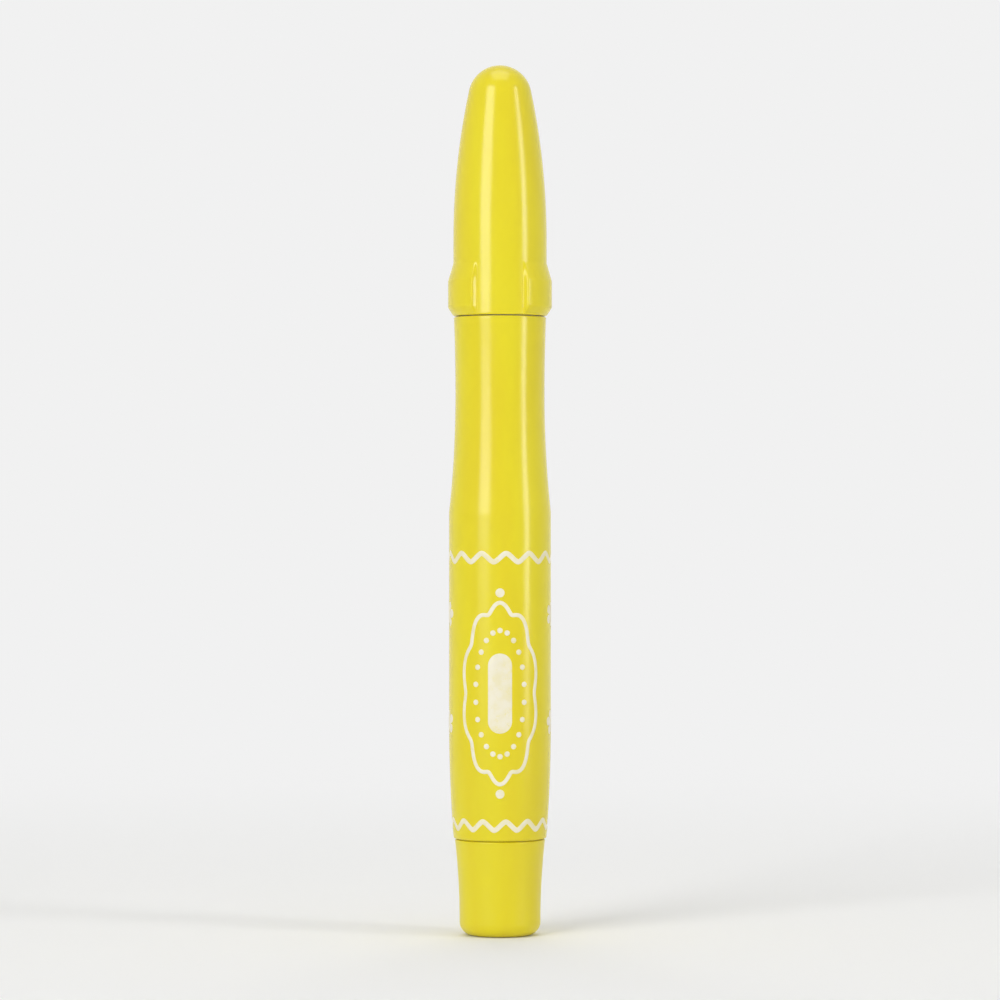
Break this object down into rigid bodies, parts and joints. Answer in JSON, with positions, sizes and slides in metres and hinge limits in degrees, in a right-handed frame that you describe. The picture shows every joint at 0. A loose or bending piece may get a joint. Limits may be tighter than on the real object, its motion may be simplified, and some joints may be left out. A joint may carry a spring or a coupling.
{
  "type": "twist crayon",
  "caption": "Twist-up gel crayon with a printed barrel, a pull-off cap with anti-roll lugs, and a tail knob that drives the stick up and down by a lead screw.",
  "frame": {"origin": "centre of the knob's flat base, on the crayon's axis", "axes": "+Z along the crayon's axis from the knob to the nose of the cap, the printed front faces -Y"},
  "size_m": [0.0174, 0.0172, 0.145],
  "materials": {
    "cap_plastic": "polished mould",
    "barrel_plastic": "satin, printed in white",
    "print_ink": "pad-printed film",
    "knob_plastic": "satin mould",
    "tube_plastic": "natural",
    "carrier_plastic": "natural",
    "screw_plastic": "natural",
    "ring_rubber": "matt",
    "gel": "waxy"
  },
  "bodies": {
    "barrel": {"barrel": "barrel_plastic", "inner_tube": "tube_plastic"},
    "knob": {"twist_knob": "knob_plastic", "lead_screw": "screw_plastic", "drag_ring": "ring_rubber"},
    "stick": {"stick_carrier": "carrier_plastic", "gel_stick": "gel"},
    "cap": {"cap": "cap_plastic"}
  },
  "joints": [
    {"name": "knob_twist", "type": "hinge", "parent": "barrel", "child": "knob", "pos_m": [0, 0, 0], "axis": [0, 0, 1], "range_deg": [0, 1440]},
    {"name": "stick_slide", "type": "slide", "parent": "barrel", "child": "stick", "axis": [0, 0, 1], "range_m": [0, 0.028]},
    {"name": "cap_pull", "type": "slide", "parent": "barrel", "child": "cap", "axis": [0, 0, 1], "range_m": [0, 0.045]}
  ],
  "couplings": [
    {"joint": "stick_slide", "follows": "knob_twist", "m_per_rad": 0.0011141}
  ]
}
